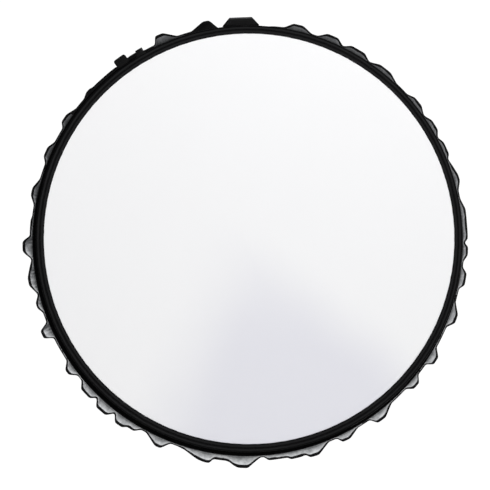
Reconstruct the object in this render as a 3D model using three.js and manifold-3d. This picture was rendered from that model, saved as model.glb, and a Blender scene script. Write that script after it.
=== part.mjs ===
// Collapsible round backdrop panel: a white cloth face in a black bound rim, zipped as a cover over a
// spring-steel hoop with its own stretched core cloth. The rear panel's margin stands out behind the rim
// as a loose ruffle with a corded edge, silver in front and black behind.
// Millimetres. X is to the right, Z is up and Y points away from the viewer. The origin is the centre of
// the white face. Angles round the rim are clock angles in degrees: 0 at the top and clockwise from there,
// as the face is seen.
import * as THREE from "three";
import { mergeVertices } from "three/addons/utils/BufferGeometryUtils.js";
import Module from "manifold-3d";

const wasm = await Module();
wasm.setup();

// Driving dimensions
const CLOTH = 0.8; // every fabric layer
const GAP = 0.3; // clearance between pieces that touch in use
const RIM_STEPS = 120; // facets round the cover's rings and the hoop
const CORE_STEPS = 60; // facets round the core cloth and its casing

const FACE_RADIUS = 526; // white cloth inside the binding
const FACE_RECESS = 0.3; // the cloth's hem lies this much lower, under the binding
const RIM_RADIUS = 546; // outside of the front binding
const WALL_RADIUS = 546.4; // inside of the rim wall: zip tapes and sewn band
const WALL_START = 2.6; // the rim wall, from just behind the front binding
const WALL_MIDDLE = 9.2; // where the two zip tapes meet
const WALL_END = 15.8;

const HOOP_RADIUS = 541.4; // outside of the flat spring band
const HOOP_THICK = 1;
const HOOP_WIDTH = 8;
const HOOP_START = 4.6;
const CORE_LEVEL = 8.2; // front surface of the core cloth

const SEAM_RADIUS = 555.4; // outer edge of the rear gusset
const SEAM_SHIFT_X = -3.7; // the loose rear panel hangs low and to the left of the hoop
const SEAM_SHIFT_Z = -5.2;
const SEAM_LEVEL = 18.6; // front surface of the gusset at its outer edge
const MARGIN_WIDTH = 28; // free width of the ruffled margin, without its cord
const PIPING_RADIUS = 3;

const ZIP_START = 327.6; // closed end, upper left
const ZIP_TURN = 184; // length of the zip, clockwise over the top
const SLIDER_ANGLE = 329.7; // slider at rest, against the closed end's stop
const SLIDER_LENGTH = 24;
const PULL_PIVOT_RADIUS = 560;
const GRIP_ANGLE = 324.25;
const COIL_INNER = WALL_RADIUS + CLOTH + GAP;
const COIL_OUTER = COIL_INNER + 1.5;
const COIL_WIDTH = 1.5;
const STOP_LENGTH = 5;
const STOP_HEIGHT = 1.8; // low enough for the pull's grip to pass over
const STOP_TURN = THREE.MathUtils.radToDeg(STOP_LENGTH / COIL_INNER);

// The slider is a saddle over both coils, with two ears that hold the pull's pin. The pull is a link that
// swings between the ears, with a grip moulded round its far end.
const SADDLE_FRONT = 5.4;
const SADDLE_BACK = 12.7;
const SADDLE_TOP = COIL_OUTER + 2.2;
const EAR_WIDTH = 1.3;
const PIN_RADIUS = 0.9;
const PIN_CLEARANCE = 0.35;
const LINK_FRONT = SADDLE_FRONT + EAR_WIDTH + GAP;
const LINK_BACK = SADDLE_BACK - EAR_WIDTH - GAP;
const LINK_LENGTH = 47;
const LINK_THICK = 2.4;
const PULL_REST_TURN = -2.2; // degrees that the resting pull dips towards the rim

const SPLICE_ANGLE = 180; // where the hoop's two ends meet
const TAB_ANGLE = 357.8; // middle of the hanging tab

// Ruffles of the loose margin, clockwise from the top. Each is a flat-topped swelling of the edge:
// [first degree, start of its top, end of its top, last degree, stand-out in mm]. Some run into the next.
const RUFFLES = [
  [9.5, 11.7, 14.3, 17, 23], [18.7, 21, 24, 26, 23], [26, 28, 32, 34, 21], [34.5, 37, 40.5, 43.5, 20],
  [47.5, 49.5, 52.3, 54.5, 19], [55, 57, 60, 61.5, 19], [62, 63.5, 67, 68, 17], [68.5, 73, 74.5, 77, 20],
  [79.3, 82, 90, 91, 18.5], [91, 92, 94.3, 96, 19.5], [97.5, 99, 102.2, 103.3, 21.5],
  [107, 110, 112.3, 114, 25], [120, 122, 124.2, 125.3, 26], [128.7, 130.2, 132.3, 133.7, 24],
  [139, 142.5, 145, 146.3, 27], [150, 153, 155.2, 156.2, 24], [158.5, 162, 164.3, 166.5, 30],
  [164, 166.5, 169.3, 170.5, 24], [169, 170.5, 175, 176, 19], [177, 180.3, 182.7, 187.5, 33],
  [184, 186, 188.7, 190, 20], [188.7, 190, 191.5, 199, 30], [201, 203, 204.5, 208, 29],
  [209.5, 211, 213, 215, 22], [212.5, 214, 216.2, 217.8, 29], [217.3, 219.2, 222.3, 224, 29],
  [223.5, 225, 228.2, 229.8, 25], [231.5, 233, 234.5, 236.3, 26], [243.2, 244, 246.2, 247.6, 31],
  [250.3, 251.8, 253.3, 255, 20], [255.5, 258, 260, 265, 25], [264.5, 266.8, 269.3, 271.2, 29.5],
  [270, 271.5, 275, 276, 13.5], [279, 281.3, 283.3, 286, 22], [290.3, 292, 294.5, 296.5, 20.5],
  [300.7, 302, 304.3, 307, 20.5], [310.3, 312, 313.3, 315, 17], [313.5, 315, 322, 324, 14],
  [325.3, 326.4, 329.6, 331, 16.5], [334.2, 335, 337.2, 340.5, 28.5], [344.5, 348, 349.6, 351.7, 27],
];
const VALLEY_REACH = 10.5; // stand-out between ruffles
const TAB_VALLEY_REACH = 5; // and beside the hanging tab, where the margin is sewn flat
const LONGEST_SPAN = 3; // degrees between the margin's cross-sections

const radians = THREE.MathUtils.degToRad;

const COLOURS = {
  whiteCloth: [0xf4f4f6, 0.75, 0],
  blackTape: [0x1b1b1d, 0.8, 0],
  blackCloth: [0x0d0d0e, 0.75, 0],
  silverCloth: [0xb4b6b8, 0.35, 0.6],
  coreCloth: [0xe9e9ea, 0.85, 0],
  springSteel: [0x8c8f94, 0.3, 1],
  brass: [0xb49a57, 0.35, 1],
  blackMetal: [0x18181a, 0.4, 0.8],
  blackPlastic: [0x141416, 0.55, 0],
  blackRubber: [0x111112, 0.7, 0],
};

const panel = new THREE.Group();

function addPiece(name, geometry, colourName) {
  const [color, roughness, metalness] = COLOURS[colourName];
  const mesh = new THREE.Mesh(geometry, new THREE.MeshStandardMaterial({ color, roughness, metalness }));
  mesh.name = name;
  panel.add(mesh);
}

// A point of the rim at a clock angle, at a radius and a depth behind the face.
function rimPoint(angle, radius, depth) {
  const turn = radians(angle);
  return [radius * Math.sin(turn), depth, radius * Math.cos(turn)];
}

// Joins equal rings of points into one closed body. Each section is the outline of the body at one angle,
// listed front outer first and then round towards the back. With no ends the last section meets the first.
function sweptBody(sections, hasEnds) {
  const sides = sections[0].length;
  const positions = sections.flat(2);
  const index = [];
  const spans = hasEnds ? sections.length - 1 : sections.length;
  for (let span = 0; span < spans; span += 1) {
    const here = span * sides;
    const next = ((span + 1) % sections.length) * sides;
    for (let side = 0; side < sides; side += 1) {
      const across = (side + 1) % sides;
      // The two faces of a thin cloth are cut along the same diagonal, so that they stay apart.
      if (side < sides / 2) {
        index.push(here + side, next + side, next + across, here + side, next + across, here + across);
      } else {
        index.push(here + side, next + side, here + across, here + across, next + side, next + across);
      }
    }
  }
  if (hasEnds) {
    const last = (sections.length - 1) * sides;
    for (let side = 1; side < sides - 1; side += 1) {
      index.push(0, side, side + 1);
      index.push(last, last + side + 1, last + side);
    }
  }
  const geometry = new THREE.BufferGeometry();
  geometry.setAttribute("position", new THREE.Float32BufferAttribute(positions, 3));
  geometry.setIndex(index);
  return geometry;
}

// A ring or an arc of the rim with one outline of [radius, depth] points all the way along.
function rimRing(outline, steps, start = 0, turn = 360) {
  const hasEnds = turn < 360;
  const count = Math.round((steps * turn) / 360);
  const sections = [];
  for (let step = 0; step < count + (hasEnds ? 1 : 0); step += 1) {
    const angle = start + (turn * step) / count;
    sections.push(outline.map(([radius, depth]) => rimPoint(angle, radius, depth)));
  }
  return sweptBody(sections, hasEnds);
}

function bandOutline(inner, outer, front, back) {
  return [[outer, front], [outer, back], [inner, back], [inner, front]];
}

// A flat round cloth.
function clothDisc(radius, front, thickness, steps) {
  const geometry = new THREE.CylinderGeometry(radius, radius, thickness, steps, 1);
  geometry.translate(0, front + thickness / 2, 0);
  return geometry;
}

// A box given by its length along the rim, its reach outward and its depth, at a clock angle.
function rimBox(angle, length, inner, outer, front, back) {
  const geometry = new THREE.BoxGeometry(length, back - front, outer - inner);
  geometry.translate(0, (front + back) / 2, (inner + outer) / 2);
  geometry.rotateY(radians(angle));
  return geometry;
}

function toSolid(geometry) {
  const bare = geometry.clone();
  bare.deleteAttribute("normal");
  bare.deleteAttribute("uv");
  const merged = mergeVertices(bare, 1e-4);
  const mesh = new wasm.Mesh({
    numProp: 3,
    vertProperties: new Float32Array(merged.attributes.position.array),
    triVerts: new Uint32Array(merged.index.array),
  });
  return new wasm.Manifold(mesh);
}

function toGeometry(solid) {
  const mesh = solid.getMesh();
  const geometry = new THREE.BufferGeometry();
  geometry.setAttribute("position", new THREE.BufferAttribute(mesh.vertProperties, 3));
  geometry.setIndex(new THREE.BufferAttribute(mesh.triVerts, 1));
  return geometry;
}

// Core: spring hoop, its splice, the cloth stretched in it and the casing round its edge

function springHoop() {
  const halfOpening = 0.15;
  const outline = bandOutline(HOOP_RADIUS - HOOP_THICK, HOOP_RADIUS, HOOP_START, HOOP_START + HOOP_WIDTH);
  const start = SPLICE_ANGLE + halfOpening;
  addPiece("hoop_band", rimRing(outline, RIM_STEPS, start, 360 - 2 * halfOpening), "springSteel");
}

function hoopSplice() {
  const clearance = 0.5;
  const wall = 0.5;
  const inner = HOOP_RADIUS - HOOP_THICK - clearance;
  const outer = HOOP_RADIUS + clearance;
  const front = HOOP_START - GAP;
  const back = HOOP_START + HOOP_WIDTH + GAP;
  const sleeve = toSolid(rimBox(SPLICE_ANGLE, 24, inner - wall, outer + wall, front - wall, back + wall));
  const passage = toSolid(rimBox(SPLICE_ANGLE, 30, inner, outer, front, back));
  addPiece("hoop_splice_sleeve", toGeometry(sleeve.subtract(passage)), "brass");
}

function coreCloth() {
  const radius = 533;
  addPiece("core_diffuser", clothDisc(radius, CORE_LEVEL, CLOTH, CORE_STEPS), "coreCloth");
}

function coreCasing() {
  const outer = 545;
  const lip = 527; // the casing's two edges grip the core cloth from here
  const shoulder = 534;
  const front = HOOP_START - 2;
  const back = HOOP_START + HOOP_WIDTH + 2;
  const gripFront = CORE_LEVEL - GAP;
  const gripBack = CORE_LEVEL + CLOTH + GAP;
  const outline = [
    [lip, gripFront - CLOTH], [shoulder, front], [outer, front], [outer, back], [shoulder, back],
    [lip, gripBack + CLOTH], [lip, gripBack], [shoulder + 0.5, back - CLOTH], [outer - CLOTH, back - CLOTH],
    [outer - CLOTH, front + CLOTH], [shoulder + 0.5, front + CLOTH], [lip, gripFront],
  ];
  addPiece("core_casing", rimRing(outline, CORE_STEPS), "blackTape");
}

// Cover: white face, front binding, rim wall with its zip, rear panel and gusset

function frontFace() {
  const flat = FACE_RADIUS - 0.5;
  const hem = FACE_RADIUS + 0.5;
  const edge = RIM_RADIUS - CLOTH - 2 * GAP;
  const outline = [
    [0, CLOTH], [flat, CLOTH], [hem, CLOTH + FACE_RECESS], [edge, CLOTH + FACE_RECESS],
    [edge, FACE_RECESS], [hem, FACE_RECESS], [flat, 0], [0, 0],
  ];
  const points = outline.map(([radius, depth]) => new THREE.Vector2(radius, depth)).reverse();
  addPiece("front_face", new THREE.LatheGeometry(points, RIM_STEPS), "whiteCloth");
}

function frontBinding() {
  const front = -GAP - CLOTH;
  const back = FACE_RECESS + CLOTH + GAP + CLOTH;
  const outline = [
    [RIM_RADIUS, front], [RIM_RADIUS, back], [FACE_RADIUS + 2, back], [FACE_RADIUS + 2, back - CLOTH],
    [RIM_RADIUS - CLOTH, back - CLOTH], [RIM_RADIUS - CLOTH, -GAP], [FACE_RADIUS, -GAP],
    [FACE_RADIUS, front],
  ];
  addPiece("front_binding", rimRing(outline, RIM_STEPS), "blackTape");
}

function rimWall() {
  const outer = WALL_RADIUS + CLOTH;
  const frontTape = bandOutline(WALL_RADIUS, outer, WALL_START, WALL_MIDDLE - GAP);
  const rearTape = bandOutline(WALL_RADIUS, outer, WALL_MIDDLE, WALL_END);
  const sewnBand = bandOutline(WALL_RADIUS, outer, WALL_START, WALL_END);
  const seamGap = 0.3; // degrees between the tapes' ends and the sewn band
  addPiece("zip_tape_front", rimRing(frontTape, RIM_STEPS, ZIP_START, ZIP_TURN), "blackCloth");
  addPiece("zip_tape_rear", rimRing(rearTape, RIM_STEPS, ZIP_START, ZIP_TURN), "blackCloth");
  const bandStart = ZIP_START + ZIP_TURN + seamGap;
  const bandTurn = 360 - ZIP_TURN - 2 * seamGap;
  addPiece("rim_band", rimRing(sewnBand, RIM_STEPS, bandStart, bandTurn), "blackTape");
}

function zipCoils() {
  const start = ZIP_START + STOP_TURN + 0.1;
  const turn = ZIP_TURN - 2 * (STOP_TURN + 0.1);
  const rearStart = WALL_MIDDLE;
  const frontEnd = WALL_MIDDLE - GAP;
  const frontCoil = bandOutline(COIL_INNER, COIL_OUTER, frontEnd - COIL_WIDTH, frontEnd);
  const rearCoil = bandOutline(COIL_INNER, COIL_OUTER, rearStart, rearStart + COIL_WIDTH);
  addPiece("zip_coil_front", rimRing(frontCoil, RIM_STEPS, start, turn), "blackPlastic");
  addPiece("zip_coil_rear", rimRing(rearCoil, RIM_STEPS, start, turn), "blackPlastic");
}

function zipEndStops() {
  const front = WALL_MIDDLE - 3;
  const back = WALL_MIDDLE + 3;
  const inner = WALL_RADIUS + CLOTH + GAP;
  const outer = inner + STOP_HEIGHT;
  const closedAngle = ZIP_START + STOP_TURN / 2;
  const openAngle = ZIP_START + ZIP_TURN - STOP_TURN / 2;
  const length = STOP_LENGTH - 0.6;
  addPiece("zip_stop_closed", rimBox(closedAngle, length, inner, outer, front, back), "blackMetal");
  addPiece("zip_stop_open", rimBox(openAngle, length, inner, outer, front, back), "blackMetal");
}

// Moves a shape drawn round the pull's pin to its place on the rim. In the drawing +X runs along the rim
// clockwise and +Z runs outward, with the pin at the origin.
function atPivot(geometry) {
  geometry.translate(0, 0, PULL_PIVOT_RADIUS);
  geometry.rotateY(radians(SLIDER_ANGLE));
  return geometry;
}

function yCylinder(radius, front, back, sides = 24) {
  const geometry = new THREE.CylinderGeometry(radius, radius, back - front, sides);
  geometry.translate(0, (front + back) / 2, 0);
  return geometry;
}

function zipSlider() {
  const bodyBox = rimBox(SLIDER_ANGLE, SLIDER_LENGTH, WALL_RADIUS + CLOTH + 0.6, SADDLE_TOP,
    SADDLE_FRONT, SADDLE_BACK);
  const tunnelHalf = COIL_WIDTH + 0.7;
  const tunnelOutline = bandOutline(WALL_RADIUS - 4, COIL_OUTER + 0.5, WALL_MIDDLE - tunnelHalf,
    WALL_MIDDLE + tunnelHalf);
  const tunnel = toSolid(rimRing(tunnelOutline, RIM_STEPS, SLIDER_ANGLE - 4, 8));
  const earReach = PULL_PIVOT_RADIUS + 4.3;
  const earLength = 20;
  let body = toSolid(bodyBox).subtract(tunnel);
  for (const front of [SADDLE_FRONT, SADDLE_BACK - EAR_WIDTH]) {
    const ear = rimBox(SLIDER_ANGLE, earLength, SADDLE_TOP - 1, earReach, front, front + EAR_WIDTH);
    body = body.add(toSolid(ear));
  }
  const bore = atPivot(yCylinder(PIN_RADIUS + PIN_CLEARANCE, SADDLE_FRONT - 1, SADDLE_BACK + 1));
  addPiece("zip_slider", toGeometry(body.subtract(toSolid(bore))), "blackMetal");
}

// A bar that runs back along the rim from the pull's pin.
function pullBar(length, width, thick) {
  const bar = new THREE.BoxGeometry(length, width, thick);
  bar.translate(-length / 2, (LINK_FRONT + LINK_BACK) / 2, 0);
  bar.rotateY(radians(PULL_REST_TURN));
  return toSolid(atPivot(bar));
}

function zipPull() {
  const pin = toSolid(atPivot(yCylinder(PIN_RADIUS, SADDLE_FRONT - 0.5, SADDLE_BACK + 0.5)));
  const eye = toSolid(atPivot(yCylinder(2, LINK_FRONT, LINK_BACK)));
  const link = pullBar(LINK_LENGTH, LINK_BACK - LINK_FRONT - 1, LINK_THICK);
  addPiece("zip_pull_link", toGeometry(pin.add(eye).add(link)), "blackMetal");
}

function roundedRectangle(length, height, corner) {
  const right = length / 2 - corner;
  const top = height / 2 - corner;
  const shape = new THREE.Shape();
  shape.absarc(right, top, corner, 0, Math.PI / 2);
  shape.absarc(-right, top, corner, Math.PI / 2, Math.PI);
  shape.absarc(-right, -top, corner, Math.PI, 1.5 * Math.PI);
  shape.absarc(right, -top, corner, 1.5 * Math.PI, 2 * Math.PI);
  return shape;
}

function pullGrip() {
  const height = 24;
  const thick = 6;
  const inner = COIL_OUTER + 0.9; // its edge lies along the rim, just clear of the coils and stops
  const tab = new THREE.ExtrudeGeometry(roundedRectangle(35, height, 6), {
    depth: thick, bevelEnabled: false, curveSegments: 4,
  });
  tab.rotateX(Math.PI / 2);
  tab.translate(0, (LINK_FRONT + LINK_BACK + thick) / 2, inner + height / 2);
  tab.rotateY(radians(GRIP_ANGLE));
  const room = 2 * GAP;
  const slot = pullBar(LINK_LENGTH + room, LINK_BACK - LINK_FRONT - 1 + room, LINK_THICK + room);
  addPiece("zip_pull_grip", toGeometry(toSolid(tab).subtract(slot)), "blackRubber");
}

function rearPanel() {
  const liningLevel = WALL_END - CLOTH;
  const rearLevel = WALL_END + GAP;
  addPiece("rear_lining_silver", clothDisc(RIM_RADIUS - 0.6, liningLevel, CLOTH, RIM_STEPS), "silverCloth");
  addPiece("rear_face", clothDisc(RIM_RADIUS, rearLevel, CLOTH, RIM_STEPS), "blackCloth");
}

// Radius of the rear seam at a clock angle: a circle whose centre is shifted from the hoop's.
function seamRadius(angle) {
  const turn = radians(angle);
  const along = SEAM_SHIFT_X * Math.sin(turn) + SEAM_SHIFT_Z * Math.cos(turn);
  const across = SEAM_SHIFT_X * Math.cos(turn) - SEAM_SHIFT_Z * Math.sin(turn);
  return along + Math.sqrt(SEAM_RADIUS ** 2 - across ** 2);
}

function rearGusset() {
  const rearLevel = WALL_END + GAP;
  const sections = [];
  for (let step = 0; step < RIM_STEPS; step += 1) {
    const angle = (360 * step) / RIM_STEPS;
    const outer = seamRadius(angle);
    sections.push([
      rimPoint(angle, outer, SEAM_LEVEL), rimPoint(angle, outer, SEAM_LEVEL + CLOTH),
      rimPoint(angle, WALL_RADIUS, rearLevel + CLOTH), rimPoint(angle, WALL_RADIUS, rearLevel),
    ]);
  }
  addPiece("rear_gusset", sweptBody(sections, false), "blackTape");
}

// Margin: one long ruffle of cloth with a cord in its edge

function smoothStep(share) {
  const held = THREE.MathUtils.clamp(share, 0, 1);
  return held * held * (3 - 2 * held);
}

// How far the margin's corded edge stands out past the seam at a clock angle.
function standOut(angle) {
  const fromTab = Math.abs(((angle - TAB_ANGLE + 540) % 360) - 180);
  const valley = THREE.MathUtils.lerp(TAB_VALLEY_REACH, VALLEY_REACH, smoothStep((fromTab - 6) / 4));
  const reaches = RUFFLES.map(([first, topStart, topEnd, last, reach]) => {
    const rise = smoothStep((angle - first) / (topStart - first));
    const fall = smoothStep((last - angle) / (last - topEnd));
    return valley + (reach - valley) * rise * fall;
  });
  return Math.max(...reaches, valley);
}

// Clock angles at which the margin has a cross-section: six over each ruffle, and more on long spans.
function marginAngles() {
  const nearest = 0.3;
  const wanted = RUFFLES.flatMap(([first, topStart, topEnd, last]) => [
    first, (first + topStart) / 2, topStart, topEnd, (topEnd + last) / 2, last,
  ]).sort((one, other) => one - other);
  const kept = wanted.filter((angle, number) => number === 0 || angle - wanted[number - 1] >= nearest);
  return kept.flatMap((angle, number) => {
    const following = number + 1 < kept.length ? kept[number + 1] : kept[0] + 360;
    const spans = Math.ceil((following - angle) / LONGEST_SPAN);
    return Array.from({ length: spans }, (_, span) => (angle + ((following - angle) * span) / spans) % 360);
  });
}

// The margin's lean at a clock angle, as the unit direction from the seam to its free edge.
function marginLean(angle) {
  const width = MARGIN_WIDTH + GAP + PIPING_RADIUS;
  const outward = (standOut(angle) - PIPING_RADIUS) / width;
  return [outward, Math.sqrt(1 - outward * outward)];
}

function ruffledMargin() {
  const rootLevel = SEAM_LEVEL + CLOTH + 2 * GAP + CLOTH;
  const cloth = [];
  const cord = [];
  const cordSides = 6;
  for (const angle of marginAngles()) {
    const root = seamRadius(angle) - GAP;
    const [outward, backward] = marginLean(angle);
    const point = (along, inside) => rimPoint(angle, root + along * outward - inside * backward,
      rootLevel + along * backward + inside * outward);
    cloth.push([point(0, 0), point(MARGIN_WIDTH, 0), point(MARGIN_WIDTH, CLOTH), point(0, CLOTH)]);
    const section = [];
    for (let side = 0; side < cordSides; side += 1) {
      const turn = (2 * Math.PI * side) / cordSides;
      const along = MARGIN_WIDTH + GAP + PIPING_RADIUS * (1 - Math.cos(turn));
      section.push(point(along, CLOTH / 2 - PIPING_RADIUS * Math.sin(turn)));
    }
    cord.push(section);
  }
  addPiece("ruffle_margin", sweptBody(cloth, false), "silverCloth");
  addPiece("ruffle_piping", sweptBody(cord, false), "blackTape");
}

// Hanging tab: a folded piece of webbing that stands on the seam at the top, open through along the rim

function hangingTab() {
  const footWidth = 94;
  const topWidth = 56;
  const strap = 1.6;
  const foot = seamRadius(TAB_ANGLE) + 1.6;
  const tall = 21.6;
  const front = 20.5;
  const back = 37;
  const loop = (low, high, near, far, round) => {
    const shape = new THREE.Shape();
    shape.moveTo(near, low);
    shape.lineTo(far, low);
    shape.lineTo(far, high - round);
    shape.absarc(far - round, high - round, round, 0, Math.PI / 2);
    shape.lineTo(near + round, high);
    shape.absarc(near + round, high - round, round, Math.PI / 2, Math.PI);
    return shape;
  };
  const outline = loop(foot, foot + tall, front, back, 6);
  outline.holes.push(loop(foot + strap, foot + tall - strap, front + strap, back - strap, 6 - strap));
  const tab = new THREE.ExtrudeGeometry(outline, { depth: 1, bevelEnabled: false, curveSegments: 5 });
  const points = tab.attributes.position;
  for (let number = 0; number < points.count; number += 1) {
    const depth = points.getX(number);
    const radius = points.getY(number);
    const width = THREE.MathUtils.lerp(footWidth, topWidth, (radius - foot) / tall);
    points.setXYZ(number, (points.getZ(number) - 0.5) * width, depth, radius);
  }
  tab.rotateY(radians(TAB_ANGLE));
  addPiece("hanging_loop", tab, "blackTape");
}

springHoop();
hoopSplice();
coreCloth();
coreCasing();
frontFace();
frontBinding();
rimWall();
zipCoils();
zipEndStops();
zipSlider();
zipPull();
pullGrip();
rearPanel();
rearGusset();
ruffledMargin();
hangingTab();

export default panel;
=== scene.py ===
"""Looks of the collapsible backdrop panel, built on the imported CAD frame.

Metres. X is to the right, Z is up and Y points away from the viewer. The origin is the centre of the white
face. Places round the rim are clock angles: 0 at the top and clockwise from there, as the face is seen.
"""

import math

import bmesh
import bpy
import numpy as np
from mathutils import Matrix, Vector


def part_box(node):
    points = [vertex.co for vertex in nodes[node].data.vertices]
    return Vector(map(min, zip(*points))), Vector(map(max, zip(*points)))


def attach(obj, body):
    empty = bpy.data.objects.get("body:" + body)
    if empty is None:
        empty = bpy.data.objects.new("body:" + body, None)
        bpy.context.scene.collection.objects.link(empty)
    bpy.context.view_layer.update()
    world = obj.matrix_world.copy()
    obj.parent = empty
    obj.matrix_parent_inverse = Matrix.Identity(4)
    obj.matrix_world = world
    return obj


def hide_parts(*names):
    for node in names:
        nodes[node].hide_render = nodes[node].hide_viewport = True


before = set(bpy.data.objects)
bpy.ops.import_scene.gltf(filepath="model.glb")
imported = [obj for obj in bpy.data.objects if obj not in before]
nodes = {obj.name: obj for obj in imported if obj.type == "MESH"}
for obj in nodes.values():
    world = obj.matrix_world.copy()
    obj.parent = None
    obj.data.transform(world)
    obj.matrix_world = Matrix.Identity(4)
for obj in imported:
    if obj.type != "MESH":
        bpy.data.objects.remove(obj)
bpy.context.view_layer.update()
MM = 0.001
noise_source = np.random.default_rng(11)

# Sizes read from the frame
WALL_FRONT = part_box("zip_tape_front")[0][1]
WALL_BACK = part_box("zip_tape_rear")[1][1]
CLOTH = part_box("rear_face")[1][1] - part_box("rear_face")[0][1]
BINDING_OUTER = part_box("front_binding")[1][0]
BINDING_WIDTH = 20 * MM
BINDING_INNER = BINDING_OUTER - BINDING_WIDTH

# Sizes that only the looks have
GROOVE = 0.54  # place of the binding's stitched groove, as a share of its width
BINDING_STRIP = 24 * MM  # length across the binding's front, measured over its two ridges
TAB_SLOPE = math.radians(2.2)  # the hanging tab follows the rim, so it rises to the right
CORD_RADIUS = 3.3 * MM  # the margin's cord with its cover
EDGING = 0.21  # share of the margin's width that its black edging takes where it stands out fully; where it leans back the edging widens as painted shade
SEAM_ALLOWANCE = 1.5 * MM  # the margin's root is turned in and forward this far, behind the gusset

# Clock angles between which the margin's front is painted black as shade, one arc by the zip's closed end and
# one by the tab
SHADED_ARCS = ((305, 333.5), (342.5, 368))

# Places round the rim at which the rings are shaped
FINE = 2400
fine_angle = np.arange(FINE) * 360 / FINE

# The two deepest blacks, on the hardware and the margin's back
SOOT = (0.001, 0.001, 0.0011)
COAL = (0.004, 0.004, 0.0042)


# ---------------------------------------------------------------- shapes


def rim_points(angle, radius, depth):
    """Points round the rim from clock angles in degrees, radii and depths behind the face."""
    turn = np.radians(angle)
    return np.stack([radius * np.sin(turn), depth + 0 * turn, radius * np.cos(turn)], axis=-1)


def new_piece(name, points, faces, body="panel", strip=None, smooth=True):
    """A mesh object that rides on a body. strip holds metres along and across the cloth for its weave."""
    mesh = bpy.data.meshes.new(name)
    points = np.asarray(points, dtype=np.float64).reshape(-1, 3)
    faces = np.asarray(faces, dtype=np.int64)
    sides = faces.shape[1]
    mesh.vertices.add(len(points))
    mesh.vertices.foreach_set("co", points.ravel())
    mesh.loops.add(faces.size)
    mesh.loops.foreach_set("vertex_index", faces.ravel())
    mesh.polygons.add(len(faces))
    mesh.polygons.foreach_set("loop_start", np.arange(len(faces)) * sides)
    mesh.polygons.foreach_set("loop_total", np.full(len(faces), sides))
    mesh.update(calc_edges=True)
    if strip is not None:
        layer = mesh.attributes.new("strip", "FLOAT_VECTOR", "POINT")
        layer.data.foreach_set("vector", np.asarray(strip, dtype=np.float64).ravel())
    if smooth:
        mesh.polygons.foreach_set("use_smooth", np.ones(len(faces), dtype=bool))
    piece = bpy.data.objects.new(name, mesh)
    bpy.context.scene.collection.objects.link(piece)
    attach(piece, body)
    return piece


def sweep_faces(stations, sides, closed):
    """Quads of a swept body: rings of points in turn, each ring a closed outline."""
    spans = stations if closed else stations - 1
    here = np.arange(spans)[:, None] * sides + np.arange(sides)[None, :]
    across = np.arange(spans)[:, None] * sides + (np.arange(sides)[None, :] + 1) % sides
    step = (np.arange(spans) + 1) % stations
    ahead = step[:, None] * sides + np.arange(sides)[None, :]
    ahead_across = step[:, None] * sides + (np.arange(sides)[None, :] + 1) % sides
    return np.stack([here, ahead, ahead_across, across], axis=-1).reshape(-1, 4)


def swept(name, angle, radius, depth, closed=True, body="panel"):
    """A body round the rim. radius and depth are arrays of stations by outline points."""
    stations, sides = radius.shape
    points = rim_points(angle[:, None] + 0 * radius, radius, depth)
    faces = sweep_faces(stations, sides, closed)
    middle = radius.mean()
    along = np.radians(angle)[:, None] * middle + 0 * radius
    radius_steps = np.diff(radius, axis=1, prepend=radius[:, :1])
    depth_steps = np.diff(depth, axis=1, prepend=depth[:, :1])
    steps = np.hypot(radius_steps, depth_steps)
    strip = np.stack([along, np.cumsum(steps, axis=1), 0 * along], axis=-1)
    piece = new_piece(name, points, faces, body, strip)
    if not closed:
        close_ends(piece, stations, sides)
    return piece


def close_ends(piece, stations, sides):
    """Fills the two end outlines of an open sweep."""
    work = bmesh.new()
    work.from_mesh(piece.data)
    work.verts.ensure_lookup_table()
    last = (stations - 1) * sides
    work.faces.new([work.verts[number] for number in range(sides)])
    work.faces.new([work.verts[last + number] for number in reversed(range(sides))])
    work.to_mesh(piece.data)
    work.free()


def band_outline(inner, outer, front, back, crown=0.0, count=9):
    """Outline of a flat strip standing round the rim, its outside slightly crowned."""
    share = np.linspace(0, 1, count)
    swell = crown * (1 - (2 * share - 1) ** 4)
    depth = np.concatenate([front + (back - front) * share, back + (front - back) * share])
    radius = np.concatenate([outer + swell, np.full(count, inner)])
    return radius, depth


def waves(angle, counts, strength):
    """Smooth seeded ripples round the rim, one for each count of waves per turn."""
    total = 0 * angle
    for count in counts:
        total = total + np.sin(np.radians(angle) * count + noise_source.uniform(0, 2 * math.pi))
    return strength * total / math.sqrt(len(counts))


def capsule(sides=6):
    """A unit stitch: points along X from -0.5 to 0.5, with Y across and Z up, and its triangles as quads."""
    profile = [(-0.5, 0.0), (-0.42, 0.6), (-0.2, 1.0), (0.2, 1.0), (0.42, 0.6), (0.5, 0.0)]
    turn = np.linspace(0, 2 * math.pi, sides, endpoint=False)
    points = []
    for along, girth in profile:
        girth = max(girth, 0.05)
        for angle in turn:
            points.append((along, 0.5 * girth * math.cos(angle), 0.5 * girth * math.sin(angle)))
    faces = sweep_faces(len(profile), sides, False)
    ends = [[0, 1, 2, 3], [0, 3, 4, 5]]
    last = (len(profile) - 1) * sides
    ends += [[last + 3, last + 2, last + 1, last], [last + 5, last + 4, last + 3, last]]
    return np.array(points), np.concatenate([faces, np.array(ends)])


def copies(name, template, faces, places, along, up, size, body="panel"):
    """One mesh of many copies of a template, each at a place with its own X and Z directions."""
    across = np.cross(up, along)
    points = (
        places[:, None, :]
        + template[None, :, 0:1] * size[0] * along[:, None, :]
        + template[None, :, 1:2] * size[1] * across[:, None, :]
        + template[None, :, 2:3] * size[2] * up[:, None, :]
    )
    shift = np.arange(len(places))[:, None, None] * len(template)
    all_faces = (faces[None, :, :] + shift).reshape(-1, faces.shape[1])
    return new_piece(name, points, all_faces, body)


def unit(vectors):
    return vectors / np.linalg.norm(vectors, axis=-1, keepdims=True)


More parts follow.
